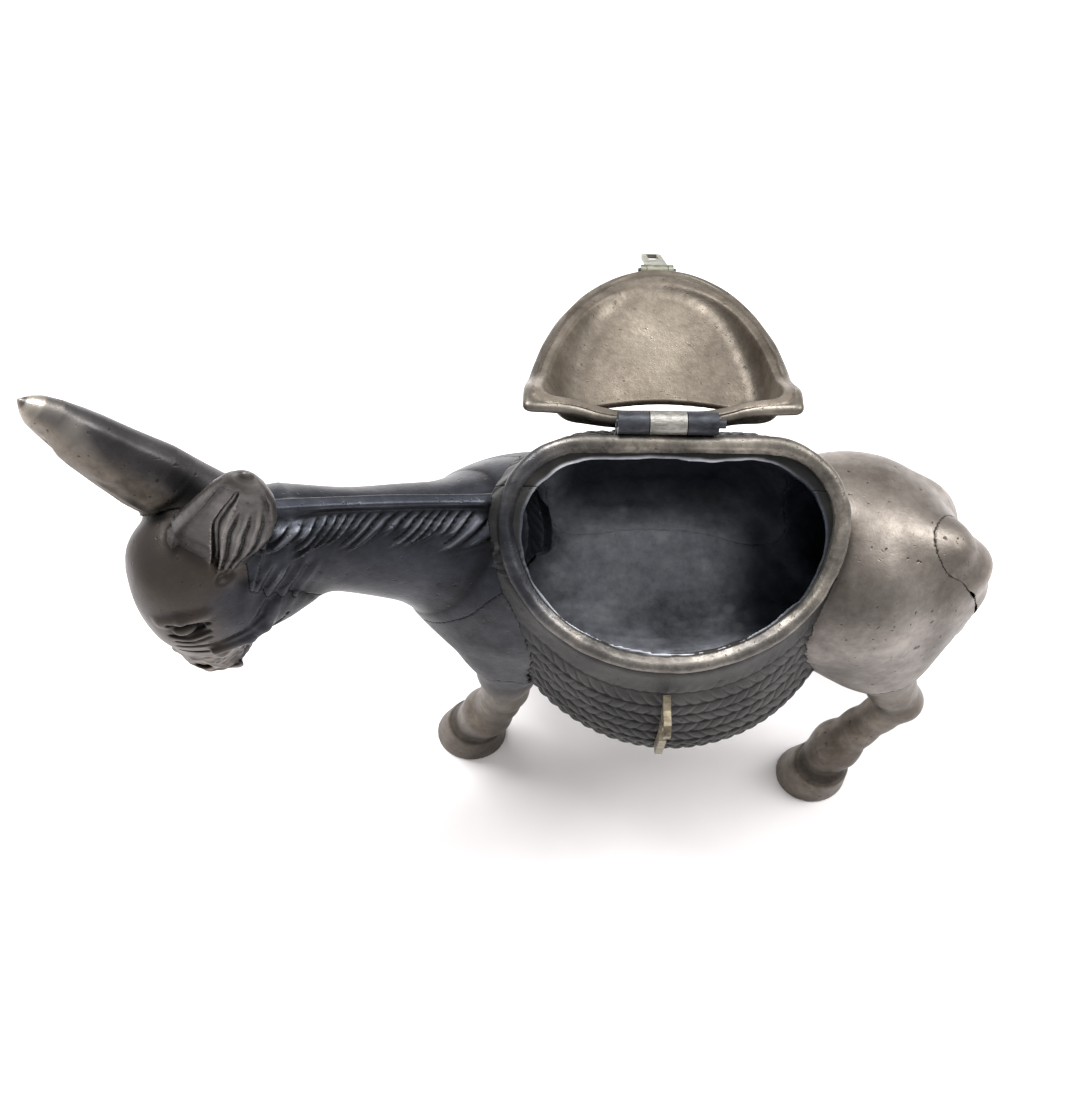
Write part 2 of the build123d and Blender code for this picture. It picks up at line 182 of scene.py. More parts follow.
def surface_net(values, low, step):
    """Vertices and quads of the zero surface of a sampled field."""
    inside = values < 0
    n = np.array(values.shape)
    cells = np.zeros(n - 1, np.uint8)
    for dx in (0, 1):
        for dy in (0, 1):
            for dz in (0, 1):
                cells += inside[dx:n[0] - 1 + dx, dy:n[1] - 1 + dy, dz:n[2] - 1 + dz]
    active = (cells > 0) & (cells < 8)
    where = np.argwhere(active)
    index = np.full(active.shape, -1, np.int64)
    index[active] = np.arange(len(where))
    total = np.zeros((len(where), 3))
    hits = np.zeros(len(where))
    for axis in range(3):
        along = np.eye(3, dtype=int)[axis]
        others = [i for i in range(3) if i != axis]
        for b in (0, 1):
            for c in (0, 1):
                start = where.copy()
                start[:, others[0]] += b
                start[:, others[1]] += c
                end = start + along
                f0 = values[start[:, 0], start[:, 1], start[:, 2]]
                f1 = values[end[:, 0], end[:, 1], end[:, 2]]
                cross = (f0 < 0) != (f1 < 0)
                t = np.where(cross, f0 / np.where(cross, f0 - f1, 1), 0)
                total += np.where(cross[:, None], start + t[:, None] * along, 0)
                hits += cross
    vertices = np.array(low) + total / hits[:, None] * step
    quads = []
    for axis in range(3):
        along = np.eye(3, dtype=int)[axis]
        b, c = np.eye(3, dtype=int)[(axis + 1) % 3], np.eye(3, dtype=int)[(axis + 2) % 3]
        lower = tuple(slice(0, n[i] - 1 if i == axis else n[i]) for i in range(3))
        upper = tuple(slice(1 if i == axis else 0, n[i]) for i in range(3))
        edges = np.argwhere(inside[lower] != inside[upper])
        keep = np.ones(len(edges), bool)
        for i in range(3):
            if i != axis:
                keep &= (edges[:, i] > 0) & (edges[:, i] < n[i] - 1)
        edges = edges[keep]
        ring = [edges, edges - b, edges - b - c, edges - c]
        quad = np.stack([index[q[:, 0], q[:, 1], q[:, 2]] for q in ring], axis=1)
        inward = ~inside[edges[:, 0], edges[:, 1], edges[:, 2]]
        quad[inward] = quad[inward][:, ::-1]
        quads.append(quad)
    return vertices, np.concatenate(quads)


def slopes(field, p, eps):
    base = spread(field, p)
    rises = [(spread(field, p + step) - base) / eps for step in np.eye(3) * eps]
    return base, np.stack(rises, axis=1)


def shape_of(field, low, high, step, cavity=None):
    """Points, quads and marks of a field's surface: how hollow a point lies, and if it lines the cavity."""
    low = np.array(low, float)
    points, quads = surface_net(sample(field, low, high, step), low, step)
    base, slope = slopes(field, points, 0.04)
    square = (slope * slope).sum(axis=1) + 1e-6
    move = clamp(base / square, -step * 0.3, step * 0.3)
    points = points - slope * move[:, None] * 0.8
    normal = slope / (length(slope)[:, None] + 1e-9)
    hollow = np.zeros(len(points))
    for reach, share in ((0.5, 0.5), (1.6, 0.5)):
        hollow += share * clamp(1 - spread(field, points + normal * reach) / reach, -1, 1)
    lining = np.zeros(len(points))
    if cavity is not None:
        lining = 1 - ramp(np.abs(spread(cavity, points)), 0.15, 0.6)
    return points, quads, {"hollow": hollow.astype(np.float32), "lining": lining.astype(np.float32)}


def sculpt(name, field, low, high, step, body, nodes, material, place=None, cavity=None, tones=None):
    """Turns a field into a piece that rides a body and replaces that body's plain nodes."""
    points, quads, marks = shape_of(field, low, high, step, cavity)
    for tone, share in (tones or {}).items():
        marks[tone] = share(points).astype(np.float32)
    if place is not None:
        points = place(points)
    mesh = bpy.data.meshes.new(name)
    mesh.from_pydata(((points + OFFSET) * MM).tolist(), [], quads.tolist())
    for mark, values in marks.items():
        mesh.attributes.new(mark, "FLOAT", "POINT").data.foreach_set("value", values)
    mesh.shade_smooth()
    piece = bpy.data.objects.new(name, mesh)
    bpy.context.scene.collection.objects.link(piece)
    mesh.materials.append(material)
    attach(piece, body)
    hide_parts(*nodes)
    return piece


# ---------------------------------------------------------------- the donkey's fields
def torso_form(p):
    d = ellipsoid(p, (-4.5, 0, 63.2), (17.0, 16.6, 20.3))
    d = join(d, ellipsoid(p, (22, 0, 62.5), (36, 18.2, 21.0)), 9)
    d = join(d, ellipsoid(p, (55.0, 0, 64.3), (21.3, 19.9, 20.0)), 7)
    for side in (-1, 1):
        q = p * np.array([1, side, 1])
        d = join(d, ellipsoid(q, (-12.0, 7.5, 61.0), (7.5, 6.8, 8.5)), 4)
        d = join(d, ellipsoid(q, (-4.5, 11.3, 56), (10.2, 7.4, 13)), 4)
        d = join(d, ellipsoid(q, (61.5, 10.4, 54.5), (12.5, 9.3, 13.5)), 4)
        d = join(d, ellipsoid(q, (68.2, 8.4, 61.5), (8.5, 6.9, 12.5)), 3.5)
    return d


# the neck's root, middle and end: place, radius across and radius up
NECK_LINE = (((-7.5, -0.8, 69.5), 13.6, 17.0),
             ((-25.0, -3.6, 77.5), 9.9, 14.0),
             ((-45.0, -7.9, 86.5), 8.4, 11.2))
NECK_LENGTH = 39.0


def neck_frame(p):
    """Where points lie on the neck: along it (0 to 1), across it, up it, and its radii there."""
    (a, ra, ua), (m, rm, um), (b, rb, ub) = NECK_LINE
    a, m, b = np.array(a), np.array(m), np.array(b)
    axis = b - a
    t = clamp(((p - a) @ axis) / (axis @ axis), -0.15, 1.08)
    bow = m - (a + b) / 2
    centre = a + t[:, None] * axis + (4 * t * (1 - t))[:, None] * bow
    f, s, u = axes_of(axis)
    across = (p - centre) @ s
    up = (p - centre) @ u
    past = (p - centre) @ f
    ease = 4 * t * (1 - t)
    wide = ra + (rb - ra) * t + (rm - (ra + rb) / 2) * ease
    tall = ua + (ub - ua) * t + (um - (ua + ub) / 2) * ease
    return t, across, up, past, wide, tall


def neck_form(p, detail=True):
    t, across, up, past, wide, tall = neck_frame(p)
    d = oval(across, up, wide, tall)
    d = np.where(np.abs(past) > 0, np.sqrt(np.maximum(d, 0) ** 2 + past ** 2) + np.minimum(d, 0), d)
    beside = np.maximum(np.abs(across - 0.4) - 0.5, 0)
    above = np.maximum(np.abs(up - tall + 0.4) - 1.1, 0)
    d = join(d, np.sqrt(beside ** 2 + above ** 2) - 0.55, 1.2)
    if detail:
        run = t * NECK_LENGTH
        drop = tall - up
        side = ramp(across, 0.3, 1.2)
        slant = run - drop * 1.25
        strand = np.abs(np.sin(slant * 1.75 + 0.9 * np.sin(slant * 0.43)))
        end = 4.4 + 1.0 * np.sin(slant * 0.83 + 1.0) + 0.5 * np.sin(slant * 2.3)
        lock = side * ramp(drop, 0.6, 1.2) * (1 - ramp(drop, end - 1.4, end)) * ramp(t, 0.02, 0.1)
        d = d - lock * (0.62 * strand ** 0.8 - 0.12)
        fold = ramp(t, 0.80, 0.92) * ramp(across, 1.5, 4) * ramp(tall - up, 5, 8)
        d = d - fold * 0.35 * np.sin(run * 2.6 + 0.35 * up)
        d = d + 0.10 * ripple(p, 7.0)
    return d


HEAD_MIDDLE = np.array([-56.0, -13.0, 76.0])
HEAD_TURN = math.radians(30)


def head_local(p):
    """Forward of the face, to the near side, and up, from the middle of the head."""
    q = p - HEAD_MIDDLE
    forward = np.array([-math.cos(HEAD_TURN), -math.sin(HEAD_TURN), 0.0])
    near = np.array([math.sin(HEAD_TURN), -math.cos(HEAD_TURN), 0.0])
    return q @ forward, q @ near, q[:, 2]


# Lines drawn on the head, in its own space: forward, to the side, up and radius.
BROW = ((9.0, 5.4, 9.4, 0.6), (6.4, 7.7, 10.9, 0.7), (2.6, 8.6, 11.3, 0.4))
EYE_CREASES = (((8.4, 6.7, 9.5, 0.2), (6.0, 8.5, 10.0, 0.3), (2.6, 9.1, 9.0, 0.15)),
               ((8.6, 6.8, 6.3, 0.2), (6.4, 8.5, 5.7, 0.3), (3.0, 9.4, 6.8, 0.15)),
               ((8.2, 7.0, 4.4, 0.15), (6.0, 8.7, 3.8, 0.2), (3.2, 9.6, 4.9, 0.1)))
STRAPS = (((-7.6, 9.0, 11.0, 0.3), (-7.2, 9.4, 7.3, 0.45), (-5.4, 10.3, 4.8, 0.5), (-2.6, 10.6, 3.0, 0.5),
           (3.0, 9.7, 1.2, 0.5), (8.2, 7.2, 1.6, 0.35)),
          ((-12.0, 8.4, 6.0, 0.35), (-9.6, 9.4, 1.6, 0.45), (-6.0, 10.0, -1.6, 0.5), (-2.6, 10.0, -3.0, 0.5),
           (3.0, 8.8, -3.4, 0.5), (8.0, 5.6, -2.0, 0.35)))
CHEEK_ROLL = ((-8.8, 9.4, 5.6, 0.8), (-5.4, 10.4, 1.4, 1.0), (-2.4, 10.4, -0.2, 1.0), (3.4, 9.4, -1.1, 0.8))
TUFTS = (((2.0, -3.8, 20.4, 0.7), (3.4, -1.6, 20.6, 0.5)), ((3.0, -4.8, 19.6, 0.6), (4.6, -2.4, 19.9, 0.4)),
         ((1.2, -2.2, 21.0, 0.6), (2.2, 0.2, 21.0, 0.4)))


def head_form(p, detail=True):
    f, n, u = head_local(p)
    q = np.stack([f, n, u], axis=1)
    d = ellipsoid(q, (-0.5, -1.5, 11), (11.5, 9.4, 11.0))
    d = join(d, ellipsoid(q, (0.5, 0, 3), (11.8, 9.6, 11.5)), 6)
    d = join(d, ellipsoid(q, (-5.5, 0.6, 1.5), (10.6, 9.4, 9.0)), 4)
    d = join(d, ellipsoid(q, (-12.5, 4.6, 1.5), (6.5, 5.0, 6.5)), 4)
    d = join(d, ellipsoid(q, (2.2, 0.4, -8), (7.2, 7.0, 9.0)), 4)
    d = join(d, ellipsoid(q, (1.6, 0.4, -15.5), (6.0, 6.3, 4.6)), 2.5)
    face = f - 12.0 + np.abs(n) * 0.10 + np.maximum(-u - 2, 0) * 0.17
    d = meet(d, face, 3.0)
    if not detail:
        return d
    for side in (-1, 1):
        s = q * np.array([1, side, 1])
        d = join(d, chain(s, BROW, 0.6), 1.6)
        d = carve(d, ellipsoid(s, (6.1, 8.3, 7.9), (3.0, 1.2, 1.7)), 1.2)
        d = join(d, ellipsoid(s, (6.0, 7.3, 7.8), (2.1, 1.4, 1.3)), 0.3)
        for crease in EYE_CREASES:
            d = carve(d, chain(s, crease, 0.3), 0.7)
        for strap in STRAPS:
            d = carve(d, chain(s, strap, 0.6), 0.7)
        d = join(d, chain(s, CHEEK_ROLL, 0.8), 0.9)
        d = carve(d, ellipsoid(s, (5.2, 3.8, -15.2), (1.7, 1.2, 1.4)), 0.7)
        d = carve(d, ellipsoid(s, (-2.9, 7.4, 16.3), (1.9, 1.3, 1.0)), 0.6)
    mouth = np.sqrt((u + 16.4 + 0.05 * f * f) ** 2 + np.maximum(-f - 1.0, 0) ** 2) - 0.3
    d = carve(d, mouth, 0.6)
    for tuft in TUFTS:
        d = join(d, chain(q, tuft, 0.4), 0.5)
    rough = ramp(-u - 0.12 * f, 5.0, 8.0)
    d = d - rough * (0.45 * ripple(p, 2.6) + 0.22 * ripple(p, 1.3))
    d = d + 0.10 * ripple(p, 6.0)
    return d


def ear_form(p, base, tip, facing, rows):
    """A long ear. A row is (share of the length, half width, sideways shift, half thickness)."""
    base, tip, rows = np.array(base, float), np.array(tip, float), np.array(rows)
    axis = tip - base
    size = np.linalg.norm(axis)
    axis = axis / size
    front = np.array(facing, float)
    front -= axis * (front @ axis)
    front /= np.linalg.norm(front)
    side = np.cross(axis, front)
    q = p - base
    t = (q @ axis) / size
    n = q @ front
    half, shift, deep = (np.interp(t, rows[:, 0], rows[:, i]) for i in (1, 2, 3))
    w = q @ side - shift
    d = oval(w, n, half, deep)
    past = np.maximum(t - rows[-1, 0], rows[0, 0] - t) * size
    d = np.where(past > 0, np.sqrt(np.maximum(d, 0) ** 2 + past ** 2) + np.minimum(d, 0), d)
    return d, t, w, n, half


FAR_EAR = dict(base=(-56.0, -4.0, 92.0), tip=(-78.2, 0.1, 114.6), facing=(-0.35, -0.9, 0.25), rows=(
    (-0.12, 8.4, -0.3, 5.2), (0.05, 8.2, -0.3, 5.0), (0.30, 7.9, 0.0, 4.6), (0.41, 7.3, 0.0, 4.3),
    (0.54, 6.6, -0.1, 4.0), (0.66, 5.9, 0.0, 3.7), (0.75, 5.2, 0.1, 3.4), (0.85, 4.2, 0.2, 2.9),
    (0.93, 3.0, 0.1, 2.3), (0.975, 1.9, 0.1, 1.5), (1.0, 0.9, 0.1, 0.7)))
NEAR_EAR = dict(base=(-54.6, -13.2, 90.0), tip=(-43.9, -14.2, 119.2), facing=(-0.07, -1.0, 0.0), rows=(
    (-0.08, 2.4, 0.0, 2.6), (0.07, 4.4, 0.2, 3.2), (0.20, 6.2, 0.1, 3.5), (0.33, 7.0, 0.5, 3.6),
    (0.47, 6.9, 1.1, 3.5), (0.65, 6.0, 1.5, 3.2), (0.80, 4.8, 1.3, 2.8), (0.91, 3.3, 0.9, 2.0),
    (0.97, 2.0, 0.7, 1.2), (1.0, 0.9, 0.6, 0.6)))
# the far ear's fold: share of the length, and how far it lies above the ear's middle line
FOLD = np.array(((0.0, -6.0), (0.19, -1.2), (0.205, 0.5), (0.225, 1.75), (0.267, 2.95), (0.33, 3.5),
                 (0.49, 3.3), (0.66, 2.6), (0.80, 1.4), (1.0, 0.5)))


def far_ear(p, detail=True):
    d, t, w, n, _ = ear_form(p, **FAR_EAR)
    if detail:
        line = -w - np.interp(t, FOLD[:, 0], FOLD[:, 1])
        front = ramp(n, -0.5, 1.5) * ramp(t, 0.16, 0.24) * (1 - ramp(t, 0.72, 0.86))
        roll = 1.0 * (1 - ramp(line, -0.5, 0.1)) * (1 - ramp(-line, 3.0, 8.0) * 0.7)
        groove = 0.55 * (1 - ramp(np.abs(line - 0.2), 0.1, 0.6))
        d = d - front * (roll - groove)
        under = ramp(-line, 1.0, 2.2) * (1 - ramp(-line, 4.5, 6.5))
        knobs = under * ramp(t, 0.2, 0.3) * (1 - ramp(t, 0.45, 0.6))
        d = d - front * knobs * 0.3 * ripple(p, 2.4)
        d = d + 0.12 * ripple(p, 7.0)
    return d


HAIR_RIDGES = 4.0


def near_ear(p, detail=True):
    """A leaf seen from its open side: a smooth hollow half, a valley, and a half with fanned hair ridges."""
    d, t, w, n, half = ear_form(p, **NEAR_EAR)
    share = w / half
    valley = 0.30 - 0.75 * ramp(t, 0.02, 0.75) + 0.25 * ramp(t, 0.5, 0.9)
    inside = (1 - ramp(np.abs(share), 0.74, 0.92)) * (1 - ramp(t, 0.82, 0.95)) * ramp(t, 0.0, 0.10)
    left = ramp(valley - share, 0.0, 0.18)
    dish = 1.2 * left * (1 - ramp(np.abs(share + 0.45), 0.15, 0.55) * 0.5)
    right = 0.9 * (1 - left)
    d = d + ramp(n, -0.6, 0.6) * inside * (dish + right)
    if detail:
        trench = 1 - ramp(np.abs(share - valley), 0.03, 0.12)
        fan = (share - valley) / (1.02 - valley)
        ridges = np.abs(np.sin(fan * math.pi * HAIR_RIDGES)) ** 0.7
        ridges = ridges * ramp(fan, 0.06, 0.14) * (1 - ramp(fan, 0.86, 0.97))
        d = d + ramp(n, -0.6, 0.6) * inside * (1.1 * trench - 0.95 * ridges * (1 - ramp(t, 0.62, 0.8)))
        d = d + 0.07 * ripple(p, 6.0)
    return d


# legs from the hoof up: x, z and radius
FORE = ((-12.8, 4.5, 4.6), (-11.2, 9.0, 4.5), (-9.3, 13.0, 4.7), (-6.8, 20.0, 3.7), (-5.8, 27.5, 4.3),
        (-5.6, 38.0, 5.4), (-5.2, 52.0, 7.4))
HIND = ((60.2, 4.5, 4.6), (61.8, 9.0, 4.5), (63.4, 13.0, 4.7), (66.6, 20.5, 3.5), (69.6, 26.0, 3.3),
        (72.6, 31.2, 3.8), (69.0, 37.5, 4.4), (64.5, 49.0, 7.5))


def leg_form(p, joints, foot_y, body_y, step):
    top = joints[-1][1]
    route = []
    for x, z, r in joints:
        up = z / top
        route.append((x + step * (1 - up), foot_y + (body_y - foot_y) * up, z, r))
    d = chain(p, route[1:], 2.5)
    fx, fy = joints[0][0] + step, foot_y
    spread = clamp((8.0 - p[:, 2]) / 8.0, 0, 1)
    rx, ry = 5.6 + 1.9 * spread, 5.2 + 1.3 * spread
    hoof = oval(p[:, 0] - fx - p[:, 2] * 0.15, p[:, 1] - fy, rx, ry)
    hoof = meet(hoof, p[:, 2] - 8.2, 2.2)
    coronet = np.sqrt((oval(p[:, 0] - fx - 1.2, p[:, 1] - fy, 5.8, 5.4)) ** 2 + (p[:, 2] - 7.8) ** 2) - 0.3
    d = join(d, hoof, 1.6)
    d = carve(d, coronet, 0.8)
    d = meet(d, -p[:, 2], 0.5)
    return d


LEGS = {
    "fore_leg_near": (FORE, -10.6, -11.0, 0.0),
    "fore_leg_far": (FORE, 12.6, 10.5, 8.0),
    "hind_leg_near": (HIND, -19.6, -11.5, 0.0),
    "hind_leg_far": (HIND, 13.5, 11.5, -5.0),
}

TAIL = ((64.0, -2.6, 77.6, 3.6), (70.0, -3.6, 76.8, 4.0), (74.6, -4.4, 72.0, 4.1), (75.8, -4.8, 65.0, 4.1),
        (75.2, -5.0, 57.5, 4.0), (73.2, -5.0, 48.5, 2.2))


def tail_form(p, detail=True):
    d = chain(p, TAIL, 2.0)
    if detail:
        low = ramp(66 - p[:, 2], 0, 8)
        d = d + 0.3 * low * np.sin(p[:, 1] * 2.6 + 0.25 * p[:, 2])
    return d


# ---------------------------------------------------------------- the pack and its opening
TILT = math.radians(35)
MOUTH = np.array([21.2, 6.5, 96.2])
DOWN_SLOPE = np.array([0, -math.cos(TILT), -math.sin(TILT)])
OUT_OF_MOUTH = np.array([0, -math.sin(TILT), math.cos(TILT)])
MOUTH_HALF, MOUTH_STRAIGHT, MOUTH_WIDEST, MOUTH_DEPTH = 29.0, 15.0, 13.8, 39.2


def mouth_frame(p):
    q = p - MOUTH
    return q[:, 0], q @ DOWN_SLOPE, q @ OUT_OF_MOUTH


# height share, middle x, far edge y and z, near edge y and z, half width, straight share, widest share
PACK_ROWS = np.array([
    (0.00, 21.2, 6.2, 96.2, -25.4, 73.9, 28.8, 0.50, 0.35),
    (0.30, 22.0, 14.0, 85.5, -29.4, 65.6, 29.6, 0.40, 0.41),
    (0.68, 23.6, 24.2, 66.0, -31.2, 56.0, 31.0, 0.34, 0.48),
    (1.00, 24.0, 23.6, 50.0, -29.6, 46.0, 29.4, 0.34, 0.49)])


PACK_DROP, STRAND_ROW = 27.0, 2.55


def pack_section(p):
    """How far down the pack a point lies, 0 at the mouth and 1 at the bottom, and its D there."""
    _, v, h = mouth_frame(p)
    below = np.maximum(-h, 0)
    bottom = 48.0 - 2.0 * clamp((-2 - p[:, 1]) / 28, -1, 1)
    above = np.maximum(p[:, 2] - bottom, 0)
    w = below / (below + above + 1e-6)
    rows = [np.interp(w, PACK_ROWS[:, 0], PACK_ROWS[:, i]) for i in range(1, 9)]
    mid, yf, zf, yn, zn, half, straight, widest = rows
    dy, dz = yn - yf, zn - zf
    depth = np.sqrt(dy * dy + dz * dz)
    along = ((p[:, 1] - yf) * dy + (p[:, 2] - zf) * dz) / depth
    return w, p[:, 0] - mid, along, half, straight * half, widest * depth, depth, bottom


def pack_wall(p):
    w, u, v, half, straight, widest, depth, bottom = pack_section(p)
    return d_shape(u, v, half, straight, widest, depth) * 0.92, w, u, v, widest, depth, bottom


def pack_form(p, detail=True):
    wall, w, u, v, widest, depth, bottom = pack_wall(p)
    _, _, h = mouth_frame(p)
    d = wall
    if detail:
        around = np.arctan2(v - widest, u) * MOUTH_HALF
        row = w * PACK_DROP / STRAND_ROW
        lane = np.floor(row)
        within = row - lane
        lean = np.where(lane % 2 == 0, 1.0, -1.0)
        strand = np.abs(np.sin(around * 1.25 + lean * (within - 0.5) * 2.6 + lane * 1.7))
        rope = np.sqrt(np.maximum(np.sin(math.pi * within), 0))
        weave = rope * (0.45 + 0.55 * strand ** 0.8)
        fade = ramp(w, 0.10, 0.24) * (1 - ramp(w, 0.985, 1.0))
        d = d - fade * (0.72 * weave - 0.30)
        d = d + 0.07 * ripple(p, 9.0)
    d = meet(d, h + 0.9, 1.2)
    d = meet(d, bottom - p[:, 2], 3.0)
    return d


def pack_hollow(p, inset):
    w, u, v, half, straight, widest, depth, bottom = pack_section(p)
    edge = inset + 1.4 * (1 - ramp(w, 0.0, 0.28))
    d = d_shape(u, v - edge, half - edge, straight - edge / 2, widest - edge / 2, depth - 2 * edge) * 0.92
    d = meet(d, bottom + inset - p[:, 2], 4.0)
    return d


def hollow_form(p):
    inner = torso_form(p) + WALL
    inner = join(inner, pack_hollow(p, WALL), 1.5)
    return inner + 0.22 * ripple(p, 5.0) + 0.10 * ripple(p, 2.1)


def rim_form(p):
    u, v, h = mouth_frame(p)
    edge = d_shape(u, v, MOUTH_HALF, MOUTH_STRAIGHT, MOUTH_WIDEST, MOUTH_DEPTH)
    ring = np.sqrt((edge + 1.0) ** 2 + h * h) - 1.25
    lip = np.maximum(np.abs(edge + 1.7) - 0.6, np.abs(h + 1.3) - 1.3) - 0.2
    d = join(ring, lip, 0.9)
    return d + 0.13 * ripple(p, 6.0) + 0.04 * ripple(p, 1.9)


# ---------------------------------------------------------------- pieces of the donkey
def parts_at(p, names, detail=True):
    made = {}
    for name in names:
        if name == "torso":
            made[name] = torso_form(p) + (0.14 * ripple(p, 8.0) if detail else 0)
        elif name == "neck":
            made[name] = neck_form(p, detail)
        elif name == "head":
            made[name] = head_form(p, detail)
        elif name == "ear_far":
            made[name] = far_ear(p, detail)
        elif name == "ear_near":
            made[name] = near_ear(p, detail)
        elif name == "tail":
            made[name] = tail_form(p, detail)
        elif name == "pack":
            made[name] = pack_form(p, detail)
        else:
            made[name] = leg_form(p, *LEGS[name])
    return made


FILLETS = {"neck": 7.0, "head": 3.0, "ear_far": 2.2, "ear_near": 1.6, "tail": 5.0, "pack": 0.8}


def casting(own, neighbours, hollowed=False, extra=None):
    """The field of one casting: the whole body's skin, kept where this casting's form is the nearest."""
    def field(p):
        made = parts_at(p, [own] + neighbours)
        first = "torso" if "torso" in made else "neck" if "neck" in made else own
        skin = made[first]
        for name, d in made.items():
            if name != first:
                skin = join(skin, d, FILLETS.get(name, 4.0))
        others = None
        for name in neighbours:
            others = made[name] if others is None else np.minimum(others, made[name])
        d = skin
        if others is not None:
            d = np.maximum(d, (made[own] - others) * 0.5 - 0.03)
        if hollowed:
            d = np.maximum(d, -hollow_form(p))
        if extra is not None:
            d = np.maximum(d, extra(p))
        return d
    return field


# ---------------------------------------------------------------- the lid, sculpted shut on a level mouth
PIN_V, PIN_H = -2.3, 0.7
SWING = math.radians(-231.5)
FLANGE_LOW = 1.75
LID_HALF, LID_MIDDLE, LID_REACH, LID_EDGE = 22.8, 2.0, 39.3, -0.35
CREST_V, CREST_H, CREST_TILT = 7.0, 10.4, math.tan(math.radians(12.5))
SLOT_V, SLOT_BEND, SLOT_WIDTH, SLOT_LENGTH = 10.4, 0.0105, 2.7, 32.6


def lid_frame(p):
    """Across, away from the hinge and up from the mouth, in the shut lid's own, slightly lopsided space."""
    v = -p[:, 1]
    u = p[:, 0] - LID_X + 0.8 - 0.065 * v
    drop = 4.8 * ramp(np.abs(u), 6.0, 23.0) * (1 - ramp(v, 0.5, 12.0))
    return u, v, p[:, 2] + drop


def lid_edge(u, v):
    """Distance to the lid's outline: half an oval with a nearly straight hinge side and sharp corners."""
    side = oval(u, np.maximum(v - LID_MIDDLE, 0), LID_HALF, LID_REACH)
    hinge = LID_EDGE - 2.2 * ramp(np.abs(u), 12.5, 22.0) - v
    return meet(side, hinge, 1.4)


def hood(u, v, h, inset):
    lean = 0.14 + 0.46 * ramp(-u, -5, 5)
    rise = np.maximum(h - FLANGE_LOW, -1)
    wall = oval(u, np.maximum(v - LID_MIDDLE, 0), LID_HALF - 1.9 - inset, LID_REACH - 3.2 - inset)
    wall = (wall + rise * lean) / np.sqrt(1 + lean * lean)
    back = 0.75 + inset - 1.6 * ramp(np.abs(u), 12.5, 21.0) + rise * 0.62 - v
    wall = meet(wall, back / 1.18, 2.2)
    plate = (h - CREST_H + inset + (v - CREST_V) * CREST_TILT) / math.sqrt(1 + CREST_TILT ** 2)
    return meet(wall, plate, 3.0)


def lid_form(p):
    u, v, h = lid_frame(p)
    outer = hood(u, v, h, 0)
    inner = np.maximum(hood(u, v, h, LID_WALL), -(h + 3))
    edge = lid_edge(u, v)
    flange = meet(edge + 0.6, np.abs(h - FLANGE_LOW - LID_WALL / 2) - LID_WALL / 2, 0.3)
    outer = np.maximum(outer, FLANGE_LOW - h)
    d = join(outer, flange, 0.6)
    d = carve(d, inner, 0.5)
    arc = v - SLOT_V + SLOT_BEND * (u - 1.0) ** 2
    slot = np.maximum(np.abs(arc) - SLOT_WIDTH / 2, np.abs(u - 1.6) - SLOT_LENGTH / 2)
    slot = np.maximum(slot, np.abs(h - 9) - 6)
    d = carve(d, slot, 0.3)
    return d + 0.07 * ripple(p, 6.0)


def lid_bead_form(p):
    u, v, h = lid_frame(p)
    edge = lid_edge(u, v)
    middle = FLANGE_LOW + 1.0
    outer = np.sqrt((edge + 1.0) ** 2 + (h - middle) ** 2) - 1.02
    away = 1.2 * (1 - ramp(v, 3.0, 7.0))
    inner = np.sqrt((edge + 2.55) ** 2 + (h - middle + 0.62) ** 2) - 0.42 + away
    return join(outer, inner, 0.5) + 0.05 * ripple(p, 5.0)


def spin_x(points, angle):
    c, s = math.cos(angle), math.sin(angle)
    out = points.copy()
    out[:, 1] = points[:, 1] * c - points[:, 2] * s
    out[:, 2] = points[:, 1] * s + points[:, 2] * c
    return out


def place_lid(points):
    """From the shut lid's own space to the lid folded back on the donkey."""
    pin = np.array([0, -PIN_V, PIN_H])
    turned_back = spin_x(points - pin, SWING) + pin
    return spin_x(turned_back, TILT) + np.array([0, MOUTH[1], MOUTH[2]])


# ---------------------------------------------------------------- materials
def new_material(name):
    mat = bpy.data.materials.new(name)
    mat.use_nodes = True
    tree = mat.node_tree
    return mat, tree, tree.nodes["Principled BSDF"]


def noise(tree, coords, scale, detail=4.0, rough=0.55):
    node = tree.nodes.new("ShaderNodeTexNoise")
    node.inputs["Scale"].default_value = scale
    node.inputs["Detail"].default_value = detail
    node.inputs["Roughness"].default_value = rough
    tree.links.new(coords, node.inputs["Vector"])
    return node.outputs["Fac"]


def curve(tree, value, stops):
    """A colour ramp. A stop is (position, colour) with a grey or an rgb colour."""
    node = tree.nodes.new("ShaderNodeValToRGB")
    elements = node.color_ramp.elements
    while len(elements) < len(stops):
        elements.new(0.5)
    for element, (position, colour) in zip(elements, stops):
        element.position = position
        rgb = (colour,) * 3 if isinstance(colour, (int, float)) else colour
        element.color = (*rgb, 1.0)
    tree.links.new(value, node.inputs["Fac"])
    return node.outputs["Color"]


def mix(tree, factor, a, b, mode="MIX"):
    node = tree.nodes.new("ShaderNodeMix")
    node.data_type = "RGBA"
    node.blend_type = mode
    for socket, value in ((node.inputs[0], factor), (node.inputs[6], a), (node.inputs[7], b)):
        if isinstance(value, (int, float)):
            socket.default_value = value
        elif isinstance(value, tuple):
            socket.default_value = (*value, 1.0)
        else:
            tree.links.new(value, socket)
    return node.outputs[2]


def mark_value(tree, mark):
    """A value stored at each point of a sculpted piece."""
    node = tree.nodes.new("ShaderNodeAttribute")
    node.attribute_name = mark
    return node.outputs["Fac"]


